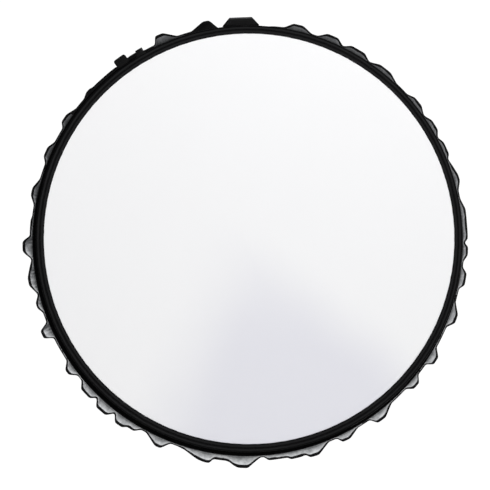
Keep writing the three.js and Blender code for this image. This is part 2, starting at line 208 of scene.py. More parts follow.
def stitch_row(name, path, pitch=3.4 * MM, length=2.6 * MM, width=0.55 * MM, slant=0.0, body="panel"):
    """A row of stitches along a path, given as its points and the outward direction at each."""
    points, outward = path
    steps = np.linalg.norm(np.diff(points, axis=0), axis=1)
    distance = np.concatenate([[0], np.cumsum(steps)])
    count = int(distance[-1] / pitch)
    wanted = (np.arange(count) + 0.5) * distance[-1] / count
    places = np.stack([np.interp(wanted, distance, points[:, axis]) for axis in range(3)], axis=-1)
    up = unit(np.stack([np.interp(wanted, distance, outward[:, axis]) for axis in range(3)], axis=-1))
    ahead = np.stack([np.interp(wanted + 0.1 * MM, distance, points[:, axis]) for axis in range(3)], axis=-1)
    behind = np.stack([np.interp(wanted - 0.1 * MM, distance, points[:, axis]) for axis in range(3)], axis=-1)
    along = unit(ahead - behind)
    along = unit(along - up * np.sum(along * up, axis=-1, keepdims=True))
    across = np.cross(up, along)
    along = unit(along + slant * across)
    template, faces = capsule()
    piece = copies(name, template, faces, places, along, up, (length, width, width), body)
    paint(piece, thread_black)
    return piece


# ---------------------------------------------------------------- materials


def start_material(name, color, roughness, metallic=0.0, specular=0.5):
    """A node material with its shader and a helper that adds linked nodes."""
    material = bpy.data.materials.new(name)
    material.use_nodes = True
    tree = material.node_tree
    shader = tree.nodes["Principled BSDF"]
    shader.inputs["Base Color"].default_value = (*color, 1)
    shader.inputs["Roughness"].default_value = roughness
    shader.inputs["Metallic"].default_value = metallic
    shader.inputs["Specular IOR Level"].default_value = specular

    def add(kind, links=(), **values):
        node = tree.nodes.new(kind)
        for key, value in values.items():
            if key in node.inputs:
                node.inputs[key].default_value = value
            else:
                setattr(node, key.lower(), value)
        for output, socket in links:
            tree.links.new(output, node.inputs[socket])
        return node

    return material, shader, tree, add


def place_of(add, source):
    """Coordinates in metres: along and across the cloth, or the object's own."""
    if source == "strip":
        return add("ShaderNodeAttribute", attribute_name="strip").outputs["Vector"]
    return add("ShaderNodeTexCoord").outputs["Object"]


def thread_wave(add, place, direction, spacing, distortion=0.4):
    """Parallel threads across one direction, spacing metres apart."""
    return add(
        "ShaderNodeTexWave",
        [(place, "Vector")],
        bands_direction=direction,
        wave_profile="SIN",
        Scale=2 * math.pi / (20 * spacing),
        Distortion=distortion,
        Detail=1.0,
    ).outputs["Fac"]


def scaled_place(add, place, scale):
    mapping = add("ShaderNodeMapping", [(place, "Vector")], Scale=scale)
    return mapping.outputs["Vector"]


def ramp(add, value, low, high, start=0.3, end=0.7):
    """A colour that runs from low to high as the value goes from start to end."""
    node = add("ShaderNodeValToRGB", [(value, "Fac")])
    node.color_ramp.elements[0].position = start
    node.color_ramp.elements[1].position = end
    node.color_ramp.elements[0].color = (*low, 1)
    node.color_ramp.elements[1].color = (*high, 1)
    return node.outputs["Color"]


def blend_colors(add, kind, share, first, second):
    node = add("ShaderNodeMix", data_type="RGBA", blend_type=kind)
    node.inputs["Factor"].default_value = share
    links = node.id_data.links
    links.new(first, node.inputs[6])
    links.new(second, node.inputs[7])
    return node.outputs[2]


def maths(add, operation, first, second):
    """A maths node on two values, each a socket or a number."""
    node = add("ShaderNodeMath", operation=operation)
    for number, value in enumerate((first, second)):
        if isinstance(value, (int, float)):
            node.inputs[number].default_value = value
        else:
            node.id_data.links.new(value, node.inputs[number])
    return node.outputs["Value"]


def weighted(add, values, weights):
    """The sum of some values, each times its weight."""
    total, *others = [maths(add, "MULTIPLY", value, weight) for value, weight in zip(values, weights)]
    for part in others:
        total = maths(add, "ADD", total, part)
    return total


def noise(add, place, scale, detail, **values):
    """Cloudy noise over a place."""
    return add("ShaderNodeTexNoise", [(place, "Vector")], Scale=scale, Detail=detail, **values).outputs["Fac"]


def vary_roughness(add, tree, shader, value, low, high):
    """Roughness that runs from low to high with a value."""
    rough = add("ShaderNodeMapRange", [(value, "Value")])
    rough.inputs["To Min"].default_value = low
    rough.inputs["To Max"].default_value = high
    tree.links.new(rough.outputs["Result"], shader.inputs["Roughness"])


def add_bump(add, tree, shader, height, strength, distance):
    bump = add("ShaderNodeBump", [(height, "Height")], Strength=strength, Distance=distance)
    tree.links.new(bump.outputs["Normal"], shader.inputs["Normal"])


def woven(name, dark, light, roughness, source, directions, spacing, bump=0.4, creases=0.0, specular=0.12):
    """Plain weave: two sets of threads, mottled dye, and soft creases."""
    material, shader, tree, add = start_material(name, light, roughness, specular=specular)
    place = place_of(add, source)
    warp = thread_wave(add, place, directions[0], spacing)
    weft = thread_wave(add, place, directions[1], spacing * 1.08)
    weave = maths(add, "MAXIMUM", warp, weft)
    mottle = noise(add, place, 35.0, 5.0, Roughness=0.62)
    slub = noise(add, scaled_place(add, place, (1, 1, 14)), 60.0, 2.0)
    shade = weighted(add, (mottle, slub), (0.6, 0.4))
    cloth = ramp(add, shade, dark, light, 0.3, 0.68)
    threads = ramp(add, weave, (0.8, 0.8, 0.8), (1, 1, 1), 0.2, 0.9)
    tree.links.new(blend_colors(add, "MULTIPLY", 0.5, cloth, threads), shader.inputs["Base Color"])
    vary_roughness(add, tree, shader, shade, roughness - 0.07, roughness + 0.07)
    crease = noise(add, place, 9.0, 4.0, Distortion=0.6)
    add_bump(add, tree, shader, weighted(add, (weave, crease), (0.15, creases)), bump, 0.0012)
    return material


def webbing_material():
    """Black ribbed webbing, with a painted highlight turning it grey along its top fold."""
    material = woven(
        "webbing_ribs", (0.0015, 0.0015, 0.0016), (0.007, 0.007, 0.0075), 0.7, "object", ("X", "Z"), 1.2 * MM,
        bump=0.8,
    )
    tree = material.node_tree
    shader = tree.nodes["Principled BSDF"]
    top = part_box("hanging_loop")[1][2]
    place = tree.nodes.new("ShaderNodeTexCoord")
    split = tree.nodes.new("ShaderNodeSeparateXYZ")
    tree.links.new(place.outputs["Object"], split.inputs["Vector"])
    tilt = tree.nodes.new("ShaderNodeMath")
    tilt.operation = "MULTIPLY_ADD"
    tilt.inputs[1].default_value = -TAB_SLOPE
    tree.links.new(split.outputs["X"], tilt.inputs[0])
    tree.links.new(split.outputs["Z"], tilt.inputs[2])
    # Painted highlight: the top 7 mm of the tab turn towards grey, as if lit from above.
    top_highlight = tree.nodes.new("ShaderNodeMapRange")
    top_highlight.interpolation_type = "SMOOTHSTEP"
    top_highlight.inputs["From Min"].default_value = top - 7 * MM
    top_highlight.inputs["From Max"].default_value = top - 1 * MM
    top_highlight.inputs["To Max"].default_value = 0.75
    tree.links.new(tilt.outputs["Value"], top_highlight.inputs["Value"])
    mix = tree.nodes.new("ShaderNodeMix")
    mix.data_type = "RGBA"
    tree.links.new(top_highlight.outputs["Result"], mix.inputs["Factor"])
    tree.links.new(shader.inputs["Base Color"].links[0].from_socket, mix.inputs[6])
    mix.inputs[7].default_value = (0.13, 0.13, 0.132, 1)
    tree.links.new(mix.outputs[2], shader.inputs["Base Color"])
    return material


def white_face_material():
    """White coated taffeta with a painted shadow, a faint cool darkening low on the panel, and fine threads.
    """
    material, shader, tree, add = start_material("white_taffeta", (0.9, 0.9, 0.9), 0.62)
    place = place_of(add, "object")
    warp = thread_wave(add, place, "X", 0.5 * MM, 0.2)
    weft = thread_wave(add, place, "Z", 0.54 * MM, 0.2)
    weave = maths(add, "MAXIMUM", warp, weft)
    split = add("ShaderNodeSeparateXYZ", [(place, "Vector")])
    # Painted shadow: a soft cool plume that spreads downwards from just below the face's middle, its edge
    # wavered by noise.
    cloud = noise(add, place, 2.6, 2.0, Roughness=0.4)
    shift = maths(add, "MULTIPLY", maths(add, "SUBTRACT", cloud, 0.5), 0.2)
    drop = maths(add, "SUBTRACT", -0.08, split.outputs["Z"])
    middle = maths(add, "ADD", maths(add, "MULTIPLY", drop, 0.36), shift)
    side = maths(add, "ABSOLUTE", maths(add, "SUBTRACT", split.outputs["X"], middle), 0.0)
    spread = maths(add, "MULTIPLY", drop, 0.75)
    past_edge = maths(add, "SUBTRACT", side, spread)
    shadow_plume = add("ShaderNodeMapRange", [(past_edge, "Value")], interpolation_type="SMOOTHSTEP")
    shadow_plume.inputs["From Min"].default_value = -0.06
    shadow_plume.inputs["From Max"].default_value = 0.22
    shadow_plume.inputs["To Min"].default_value = 1.0
    shadow_plume.inputs["To Max"].default_value = 0.0
    low = add("ShaderNodeMapRange", [(split.outputs["Z"], "Value")], interpolation_type="SMOOTHSTEP")
    low.inputs["From Min"].default_value = 0.12
    low.inputs["From Max"].default_value = -0.3
    painted_shadow = maths(add, "MULTIPLY", shadow_plume.outputs["Result"], low.outputs["Result"])
    base = ramp(add, painted_shadow, (0.9, 0.9, 0.902), (0.765, 0.765, 0.812), 0.0, 1.0)
    threads = ramp(add, weave, (0.94, 0.94, 0.94), (1, 1, 1), 0.1, 0.9)
    tree.links.new(blend_colors(add, "MULTIPLY", 0.5, base, threads), shader.inputs["Base Color"])
    fine = noise(add, place, 140.0, 3.0)
    vary_roughness(add, tree, shader, fine, 0.55, 0.7)
    add_bump(add, tree, shader, maths(add, "ADD", weave, fine), 0.12, 0.0003)
    shader.inputs["Sheen Weight"].default_value = 0.12
    return material


def silver_material(name, light, dark):
    """Metallised cloth: crinkled foil over a plain weave, duller where rubbed, with painted shade darkening
    it towards its seam.
    """
    material, shader, tree, add = start_material(name, light, 0.36, 0.85)
    place = place_of(add, "strip")
    tone = noise(add, place, 70.0, 6.0, Roughness=0.6)
    foil = ramp(add, tone, dark, light, 0.28, 0.62)
    # Painted shade: the foil's colour falls to a tenth at the seam, where the rim shades the margin.
    across = add("ShaderNodeSeparateXYZ", [(place, "Vector")]).outputs["Y"]
    seam_shade = ramp(add, maths(add, "DIVIDE", across, 26 * MM), (0.1, 0.1, 0.1), (1, 1, 1), 0.02, 0.9)
    tree.links.new(blend_colors(add, "MULTIPLY", 1.0, foil, seam_shade), shader.inputs["Base Color"])
    crinkle = add("ShaderNodeTexVoronoi", [(place, "Vector")], feature="F1", Scale=210.0).outputs["Distance"]
    folds = noise(add, scaled_place(add, place, (1.6, 0.5, 1)), 90.0, 5.0)
    weave = thread_wave(add, place, "X", 0.6 * MM)
    height = maths(add, "ADD", maths(add, "MULTIPLY", crinkle, 0.35), folds)
    height = maths(add, "ADD", height, maths(add, "MULTIPLY", weave, 0.08))
    vary_roughness(add, tree, shader, tone, 0.5, 0.3)
    add_bump(add, tree, shader, height, 0.55, 0.0012)
    return material


def ribbed_surface(add, tree, shader, place, rib, weights, smoothest):
    """Ribs across a tape, with lint and slow changes of its dye. Returns the shade they make."""
    ribs = thread_wave(add, place, "X", rib, 0.25)
    cross = thread_wave(add, place, "Y", 0.45 * MM, 0.4)
    lint = noise(add, place, 160.0, 6.0, Roughness=0.7)
    patch = noise(add, place, 14.0, 3.0)
    vary_roughness(add, tree, shader, lint, smoothest, 0.85)
    height = maths(add, "ADD", ribs, maths(add, "MULTIPLY", cross, 0.4))
    add_bump(add, tree, shader, height, 0.5, 0.0004)
    return weighted(add, (ribs, lint, patch), weights)


def tape_material(name, dark, light, rib=1.1 * MM, specular=0.06):
    """Ribbed sewing tape."""
    material, shader, tree, add = start_material(name, light, 0.72, specular=specular)
    place = place_of(add, "strip")
    shade = ribbed_surface(add, tree, shader, place, rib, (0.35, 0.35, 0.3), 0.62)
    tree.links.new(ramp(add, shade, dark, light, 0.32, 0.72), shader.inputs["Base Color"])
    return material


def binding_material():
    """Ribbed black tape with painted highlights in charcoal along its two sewn ridges, and painted shade
    keeping the groove between them near black.
    """
    material, shader, tree, add = start_material(
        "black_binding_tape", (0.008, 0.008, 0.0085), 0.7, specular=0.03,
    )
    place = place_of(add, "strip")
    split = add("ShaderNodeSeparateXYZ", [(place, "Vector")])
    across = maths(add, "DIVIDE", split.outputs["Y"], BINDING_STRIP)
    # Painted highlights: lighter charcoal over the two ridges, where they catch the light, and painted shade
    # keeping the groove and the tape's edges near black.
    tone = add("ShaderNodeValToRGB", [(across, "Fac")])
    stops = tone.color_ramp.elements
    stops[0].position, stops[0].color = 0.0, (0.012, 0.012, 0.0125, 1)
    stops[1].position, stops[1].color = 1.0, (0.001, 0.001, 0.001, 1)
    inner_ridge = ((0.1, 0.012), (0.2, 0.019), (0.31, 0.017), (0.4, 0.003), (0.49, 0.001))
    outer_ridge = ((0.59, 0.02), (0.69, 0.019), (0.8, 0.002))
    for position, shade in inner_ridge + outer_ridge:
        stops.new(position).color = (shade, shade, shade * 1.04, 1)
    shade = ribbed_surface(add, tree, shader, place, 1.1 * MM, (0.3, 0.35, 0.35), 0.6)
    mottle = ramp(add, shade, (0.5, 0.5, 0.5), (1, 1, 1), 0.3, 0.7)
    painted_ridge_colour = blend_colors(add, "MULTIPLY", 1.0, tone.outputs["Color"], mottle)
    tree.links.new(painted_ridge_colour, shader.inputs["Base Color"])
    return material


def hard_material(name, dark, light, roughness, metallic, grain, specular=0.5):
    """Metal, moulded rubber or plastic: fine grain, patchy tone and uneven gloss."""
    material, shader, tree, add = start_material(name, light, roughness, metallic, specular)
    place = place_of(add, "object")
    grains = noise(add, place, grain, 5.0, Roughness=0.6)
    patch = noise(add, place, grain / 9, 3.0)
    shade = maths(add, "MULTIPLY", maths(add, "ADD", grains, patch), 0.5)
    tree.links.new(ramp(add, shade, dark, light, 0.36, 0.66), shader.inputs["Base Color"])
    vary_roughness(add, tree, shader, shade, roughness - 0.12, roughness + 0.12)
    add_bump(add, tree, shader, grains, 0.25, 0.0003)
    return material


def paint(piece, material):
    piece.data.materials.clear()
    piece.data.materials.append(material)


white_taffeta = white_face_material()
silver_cloth = silver_material("silver_foil_cloth", (0.6, 0.61, 0.62), (0.3, 0.31, 0.32))
black_tape = binding_material()
gusset_cloth = tape_material(
    "black_gusset_tape", (0.0006, 0.0006, 0.0006), (0.0026, 0.0026, 0.0027), 0.8 * MM, 0.01,
)
black_taffeta = woven(
    "black_taffeta", (0.004, 0.004, 0.0045), (0.014, 0.014, 0.015), 0.6, "object", ("X", "Z"), 0.55 * MM,
    bump=0.5, creases=1.0, specular=0.3,
)
black_back = woven(
    "black_margin_back", SOOT, COAL, 0.62, "strip", ("X", "Y"), 0.55 * MM, bump=0.5, creases=0.8,
)
zip_cloth = woven(
    "zip_tape_weave", (0.004, 0.004, 0.0045), (0.016, 0.016, 0.017), 0.75, "strip", ("X", "Y"), 0.7 * MM,
    bump=0.6, creases=0.1,
)
core_cloth = woven(
    "core_diffuser_cloth", (0.7, 0.7, 0.71), (0.84, 0.84, 0.85), 0.8, "object", ("X", "Z"), 0.5 * MM,
    bump=0.3, specular=0.5,
)
casing_cloth = woven(
    "core_casing_cloth", (0.006, 0.006, 0.007), (0.02, 0.02, 0.022), 0.75, "object", ("X", "Z"), 0.8 * MM,
)
silver_lining = woven(
    "silver_lining_weave", (0.45, 0.46, 0.47), (0.66, 0.67, 0.68), 0.4, "object", ("X", "Z"), 0.6 * MM,
    creases=0.6, specular=0.8,
)
rim_tape = tape_material("rim_band_ribs", (0.003, 0.003, 0.0032), (0.012, 0.012, 0.0125), 0.9 * MM)
piping_tape = tape_material(
    "piping_cover", (0.0015, 0.0015, 0.0016), (0.006, 0.006, 0.0063), 0.7 * MM, 0.1,
)
webbing_tab = webbing_material()
thread_black = hard_material(
    "black_thread", (0.008, 0.008, 0.0085), (0.03, 0.03, 0.032), 0.6, 0.0, 900.0, 0.1,
)
spring_steel = hard_material("spring_steel", (0.26, 0.27, 0.29), (0.45, 0.46, 0.48), 0.34, 1.0, 260.0)
brass_metal = hard_material("crimped_brass", (0.4, 0.28, 0.1), (0.62, 0.46, 0.2), 0.34, 1.0, 320.0)
enamel_metal = hard_material("black_enamel", SOOT, COAL, 0.36, 0.0, 420.0, 0.15)
coil_nylon = hard_material(
    "coil_nylon", (0.004, 0.004, 0.0045), (0.014, 0.014, 0.015), 0.42, 0.0, 700.0, 0.4,
)
grip_rubber = hard_material("grip_rubber", SOOT, COAL, 0.5, 0.0, 600.0, 0.1)


# ---------------------------------------------------------------- flat cloths


def cloth_disc(name, node, material, relief):
    """A round cloth in two layers in the place of a CAD disc, its surface moved by relief(angle, radius)."""
    low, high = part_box(node)
    radius = high[0]
    rings, spokes = 56, 360
    share = np.linspace(0, 1, rings + 1)[1:]
    reach = radius * (1 - (1 - share) ** 1.4)
    angle = np.arange(spokes) * 360 / spokes
    grid_angle, grid_reach = np.meshgrid(angle, reach, indexing="xy")
    offset = relief(grid_angle, grid_reach)
    front = rim_points(grid_angle, grid_reach, low[1] + offset)
    back = rim_points(grid_angle, grid_reach, low[1] + CLOTH + offset)
    centre = [(0, low[1], 0), (0, low[1] + CLOTH, 0)]
    points = np.concatenate([front.reshape(-1, 3), back.reshape(-1, 3), centre])
    layer = rings * spokes
    column = np.arange(spokes)
    following = (column + 1) % spokes
    triangles = []
    for ring in range(rings - 1):
        inner, outer = ring * spokes, (ring + 1) * spokes
        triangles.append(np.stack([inner + column, outer + column, outer + following], axis=-1))
        triangles.append(np.stack([inner + column, outer + following, inner + following], axis=-1))
    triangles.append(np.stack([np.full(spokes, 2 * layer), column, following], axis=-1))
    front_faces = np.concatenate(triangles)
    back_faces = front_faces[:, ::-1] + layer
    back_faces[front_faces[:, ::-1] == 2 * layer] = 2 * layer + 1
    edge = (rings - 1) * spokes
    rim = [np.stack([edge + column, layer + edge + column, layer + edge + following], axis=-1)]
    rim.append(np.stack([edge + column, layer + edge + following, edge + following], axis=-1))
    faces = np.concatenate([front_faces, back_faces, *rim])
    piece = new_piece(name, points, faces)
    paint(piece, material)
    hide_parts(node)


def tension_puckers(strength, counts):
    """Shallow radial puckers that start at the binding and die out towards the middle."""
    edge = BINDING_INNER
    phases = noise_source.uniform(0, 2 * math.pi, len(counts))

    def relief(angle, radius):
        near = np.exp(-np.clip(edge - radius, 0, None) / 0.05)
        held = np.clip((edge - 1 * MM - radius) / 0.006, 0, 1)
        total = 0 * angle
        for count, phase in zip(counts, phases):
            total = total + np.sin(np.radians(angle) * count + phase)
        slow = np.sin(np.radians(angle) * 3 + 1.3) * (radius / edge) * (1 - radius / edge) * 2.2
        return strength * held * (near * total / len(counts) + slow)

    return relief


def pressed_hem(relief):
    """Adds to a relief the small step down that the cloth takes where it goes under the binding."""
    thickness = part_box("front_face")[1][1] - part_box("front_face")[0][1]
    step = thickness - CLOTH

    def stepped(angle, radius):
        return relief(angle, radius) + step * np.clip((radius - BINDING_INNER) / (2 * MM), 0, 1)

    return stepped


def lay_cloths():
    cloth_disc("white_front_cloth", "front_face", white_taffeta,
               pressed_hem(tension_puckers(0.25 * MM, (47, 83, 131))))
    cloth_disc("black_rear_cloth", "rear_face", black_taffeta,
               tension_puckers(0.5 * MM, (31, 58, 97)))
    cloth_disc("silver_lining_cloth", "rear_lining_silver", silver_lining,
               tension_puckers(0.2 * MM, (29, 53)))
    cloth_disc("core_diffuser_cloth", "core_diffuser", core_cloth,
               tension_puckers(0.1 * MM, (37, 71)))


# ---------------------------------------------------------------- rim


def arc_angles(node, count):
    """Clock angles along an open arc of the rim, from a CAD node's own ends."""
    around = np.sort(np.unique(np.round(node_stations(node)[0], 3)))
    gaps = np.diff(np.concatenate([around, [around[0] + 360]]))
    widest = int(np.argmax(gaps))
    start = around[(widest + 1) % len(around)]
    return start + np.linspace(0, 360 - gaps[widest], count)


def node_stations(node):
    """A CAD node's points grouped by clock angle: the angles, and each group's radii and depths."""
    mesh = nodes[node].data
    points = np.empty(len(mesh.vertices) * 3)
    mesh.vertices.foreach_get("co", points)
    points = np.unique(np.round(points.reshape(-1, 3), 6), axis=0)
    angle = np.degrees(np.arctan2(points[:, 0], points[:, 2])) % 360
    order = np.argsort(angle)
    angle, points = angle[order], points[order]
    starts = np.concatenate([[0], np.flatnonzero(np.diff(angle) > 0.03) + 1, [len(angle)]])
    groups = []
    for first, last in zip(starts[:-1], starts[1:]):
        group = points[first:last]
        groups.append(np.stack([np.hypot(group[:, 0], group[:, 2]), group[:, 1]], axis=-1))
    return np.array([angle[first] for first in starts[:-1]]), groups


def front_binding():
    """A folded tape sewn over the rim: two soft ridges with the stitched groove between them."""
    low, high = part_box("front_binding")
    outer, front, back = high[0], low[1], high[1]
    inner = BINDING_INNER
    foot = front + 0.45 * MM
    count = 22
    share = np.linspace(0, 1, count)
    across = inner + (outer - inner) * share
    ripple = waves(fine_angle, (430, 512, 611), 0.1 * MM)[:, None]
    sag = waves(fine_angle, (7, 11, 17), 0.12 * MM)[:, None]
    past_groove = np.clip((share - GROOVE) / (1 - GROOVE), 0, 1)
    inner_ridge = np.sin(math.pi * np.clip(share / GROOVE, 0, 1)) ** 0.7
    outer_ridge = 1.3 * np.sin(math.pi * past_groove) ** 0.7
    ridges = np.where(share < GROOVE, inner_ridge, outer_ridge)
    lip = 0.35 * MM * np.exp(-share / 0.04)
    front_depth = foot - (ridges * MM)[None, :] + ripple * np.sin(math.pi * share)[None, :] + lip
    turn = np.linspace(-math.pi / 2, math.pi / 2, 8)[1:-1]
    fold_middle = (foot + back) / 2
    fold_half = (back - foot) / 2
    fold_radius = outer + 0.35 * MM * np.cos(turn)
    fold_depth = fold_middle + fold_half * np.sin(turn)
    rear_share = np.linspace(1, 0.1, 6)
    rear_radius = inner + (outer - inner) * rear_share
    radius = np.concatenate([across, fold_radius, rear_radius, [inner + 2 * MM, inner + 0.2 * MM]])
    inside = np.array([back - CLOTH, front + 0.8 * MM])
    radius = radius[None, :] + 0 * ripple
    radius[:, 0:2] += 0.18 * waves(fine_angle, (61, 97, 143), 1 * MM)[:, None]
    tail = np.concatenate([fold_depth, np.full(6, back), inside])[None, :] + 0 * ripple
    depth = np.concatenate([front_depth + sag * 0.4, tail], axis=1)
    piece = swept("front_binding_tape", fine_angle, radius, depth)
    paint(piece, black_tape)
    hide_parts("front_binding")
    rows = (("binding_stitches_inner", GROOVE, 0.35 * MM), ("binding_stitches_edge", 0.06, 0.3 * MM))
    for name, place, rise in rows:
        reach = inner + (outer - inner) * place
        path = rim_points(fine_angle, reach + 0 * fine_angle, front + 0.15 * MM - rise)
        outward = np.tile((0.0, -1.0, 0.0), (FINE, 1))
        stitch_row(name, (path, outward))


def rim_strip(name, node, material, closed=False, crown=0.25 * MM, stitched=()):
    """A strip of tape that stands round the rim, with gathers and rows of stitches at some depths."""
    groups = node_stations(node)[1]
    inner, outer = groups[0][:, 0].min(), groups[0][:, 0].max()
    low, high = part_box(node)
    angle = fine_angle if closed else arc_angles(node, 1400)
    radius, depth = band_outline(inner, outer, low[1], high[1], crown)
    bulge = np.sin(np.linspace(0, math.pi, len(radius)))
    ripple = waves(angle, (173, 241, 389), 0.12 * MM)[:, None] * bulge[None, :]
    piece = swept(name, angle, radius[None, :] + np.abs(ripple) * 0.5, depth[None, :] + 0 * ripple, closed)
    paint(piece, material)
    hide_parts(node)
    for number, place in enumerate(stitched):
        path = rim_points(angle, outer + crown + 0.1 * MM + 0 * angle, place)
        outward = rim_points(angle, 1 + 0 * angle, 0)
        stitch_row(f"{name}_stitches_{number}", (path, outward))


def zip_coil(name, node, offset):
    """A row of nylon loops along one zip tape, with half a pitch between the two rows."""
    groups = node_stations(node)[1]
    inner, outer = groups[0][:, 0].min(), groups[0][:, 0].max()
    low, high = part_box(node)
    pitch = 1.9 * MM
    ends = arc_angles(node, 2)
    middle = (inner + outer) / 2
    count = int(math.radians(ends[1] - ends[0]) * middle / pitch)
    angle = ends[0] + (np.arange(count) + offset) * (ends[1] - ends[0]) / count
    filament = 0.32 * MM
    segments, sides = 10, 5
    turn = np.linspace(0, 2 * math.pi, segments, endpoint=False)
    girth = np.linspace(0, 2 * math.pi, sides, endpoint=False)
    half_width = (high[1] - low[1]) / 2 + 0.15 * MM - filament
    half_height = (outer - inner) / 2 - filament
    ring_across = np.cos(turn)[:, None] * (half_width + filament * np.cos(girth)[None, :])
    ring_out = np.sin(turn)[:, None] * (half_height + filament * np.cos(girth)[None, :])
    ring_along = filament * np.sin(girth)[None, :] + 0.175 * pitch * np.cos(turn)[:, None]
    template = np.stack([ring_along, ring_across, ring_out], axis=-1).reshape(-1, 3)
    faces = sweep_faces(segments, sides, True)
    places = rim_points(angle, middle + 0 * angle, (low[1] + high[1]) / 2)
    outward = rim_points(angle, 1 + 0 * angle, 0)
    along = rim_points(angle + 90, 1 + 0 * angle, 0)
    piece = copies(name, template, faces, places, along, outward, (1, 1, 1))
    paint(piece, coil_nylon)
    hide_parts(node)


def rear_gusset():
    """The loose rear cloth between the rim and the margin's seam, puckered where it is sewn."""
    angles, groups = node_stations("rear_gusset")
    outer = periodic(angles, [group[:, 0].max() for group in groups], 0.8)
    inner = groups[0][:, 0].min()
    low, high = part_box("rear_gusset")
    count = 12
    share = np.linspace(0, 1, count)
    pucker = waves(fine_angle, (187, 263, 341, 466), 0.28 * MM)[:, None] * (0.25 + 0.75 * share)[None, :]
    slack = waves(fine_angle, (19, 31, 44), 0.5 * MM)[:, None] * np.sin(math.pi * share)[None, :]
    reach = inner + (outer[:, None] - inner) * share[None, :]
    front = low[1] + (high[1] - CLOTH - low[1]) * share[None, :] ** 1.3 + pucker + slack - 0.1 * MM
    radius = np.concatenate([reach, reach[:, ::-1]], axis=1)
    depth = np.concatenate([front, front[:, ::-1] + CLOTH], axis=1)
    piece = swept("rear_gusset_cloth", fine_angle, radius, depth)
    paint(piece, gusset_cloth)
    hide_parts("rear_gusset")
    seam = outer - 1.6 * MM
    path = rim_points(fine_angle, seam, front[:, -2] - 0.1 * MM)
    outward = np.tile((0.0, -1.0, 0.0), (FINE, 1))
    stitch_row("gusset_seam_stitches", (path, outward), slant=0.12)


# ---------------------------------------------------------------- ruffled margin


def periodic(angles, values, blur):
    """Values given at some clock angles, spread smoothly to every fine angle. blur is in degrees."""
    angles = np.asarray(angles)
    values = np.asarray(values)
    around = np.concatenate([angles - 360, angles, angles + 360])
    repeated = np.interp(fine_angle, around, np.concatenate([values, values, values]))
    step = 360 / FINE
    reach = int(4 * blur / step) + 1
    kernel = np.exp(-0.5 * (np.arange(-reach, reach + 1) * step / blur) ** 2)
    padded = np.concatenate([repeated[-reach:], repeated, repeated[:reach]])
    return np.convolve(padded, kernel / kernel.sum(), mode="valid")


def margin_lines():
    """The margin's seam and its cord, as radius and depth at every fine angle."""
    angles, groups = node_stations("ruffle_margin")
    roots = np.array([group[np.argsort(group.sum(axis=1))[:2]].mean(axis=0) for group in groups])
    seam = np.stack([periodic(angles, roots[:, axis], 0.6) for axis in range(2)], axis=-1)
    angles, groups = node_stations("ruffle_piping")
    centres = np.array([group.mean(axis=0) for group in groups])
    cord = np.stack([periodic(angles, centres[:, axis], 0.28) for axis in range(2)], axis=-1)
    return seam, cord


def ruffled_margin():
    """One long gathered strip: silver in front, black behind, with a black edging up to its cord that widens
    as painted shade where the strip leans back, and a front painted black as shade in the shaded arcs.
    """
    seam, cord = margin_lines()
    lean = cord - seam
    width = np.linalg.norm(lean, axis=1)
    lean = lean / width[:, None]
    outward = np.stack([lean[:, 1], -lean[:, 0]], axis=-1)
    stand = np.clip(lean[:, 0], 0.3, 1)
    count, edging = 15, 10
    column = np.arange(count)
    # The black edging is the cord's sewing flange; dividing by stand widens it where the strip leans back, as
    # painted shade in the valleys.
    start = (1 - EDGING / stand)[:, None]
    share = np.where(column <= edging, start * column / edging,
                     start + (1 - start) * (column - edging) / (count - 1 - edging))
    arch = np.sin(math.pi * share)
    belly = (0.4 + 2.4 * stand + waves(fine_angle, (53, 71, 94), 0.7))[:, None] * arch
    gathers = waves(fine_angle, (310, 402, 489), 0.42)[:, None] * (1 - share) ** 1.2
    cross_waves = sum(
        np.sin(np.radians(fine_angle)[:, None] * turns + share * bend + phase)
        for turns, bend, phase in ((150, 3.0, 0.4), (97, -4.0, 2.1), (211, 5.0, 4.4))
    )
    push = (belly + gathers + 0.22 * cross_waves * arch) * MM
    place = seam[:, None, :] + share[:, :, None] * width[:, None, None] * lean[:, None, :]
    place[:, 0, :] -= SEAM_ALLOWANCE
    middle = place + push[:, :, None] * outward[:, None, :]
    half = np.where(column > edging, 0.8, 0.35)[None, :, None] * MM * outward[:, None, :]
    front, back = middle + half, middle - half
    outline = np.concatenate([front, back[:, ::-1, :]], axis=1)
    piece = swept("ruffle_silver_margin", fine_angle, outline[:, :, 0], outline[:, :, 1])
    paint(piece, silver_cloth)
    piece.data.materials.append(black_back)
    piece.data.materials.append(piping_tape)
    sides = 2 * count
    side_of_face = np.tile(np.arange(sides), (FINE, 1))
    # Painted shade: within these arcs the margin's front takes the black of its back.
    shaded_front = np.any([(fine_angle - first) % 360 < last - first for first, last in SHADED_ARCS], axis=0)
    choice = np.where(side_of_face >= count - 1, 1, 0)
    choice = np.where(shaded_front[:, None], 1, choice)
    choice = np.where((side_of_face >= edging) & (side_of_face < sides - 1 - edging), 2, choice)
    piece.data.polygons.foreach_set("material_index", choice.astype(np.int32).ravel())
    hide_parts("ruffle_margin")
    margin_piping(cord, lean, outward)
    margin_stitches(front, outward)


def margin_piping(cord, lean, outward):
    """The covered cord in the margin's edge, its cover puckered by the stitches."""
    sides = 14
    turn = np.linspace(0, 2 * math.pi, sides, endpoint=False)
    pucker = waves(fine_angle, (520, 640, 715), 0.09 * MM) + waves(fine_angle, (37, 59), 0.12 * MM)
    girth = (CORD_RADIUS + pucker)[:, None]
    offset = (
        girth[:, :, None] * np.cos(turn)[None, :, None] * outward[:, None, :]
        + girth[:, :, None] * np.sin(turn)[None, :, None] * lean[:, None, :]
    )
    outline = cord[:, None, :] + offset
    piece = swept("ruffle_corded_edge", fine_angle, outline[:, :, 0], outline[:, :, 1])
    paint(piece, piping_tape)
    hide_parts("ruffle_piping")


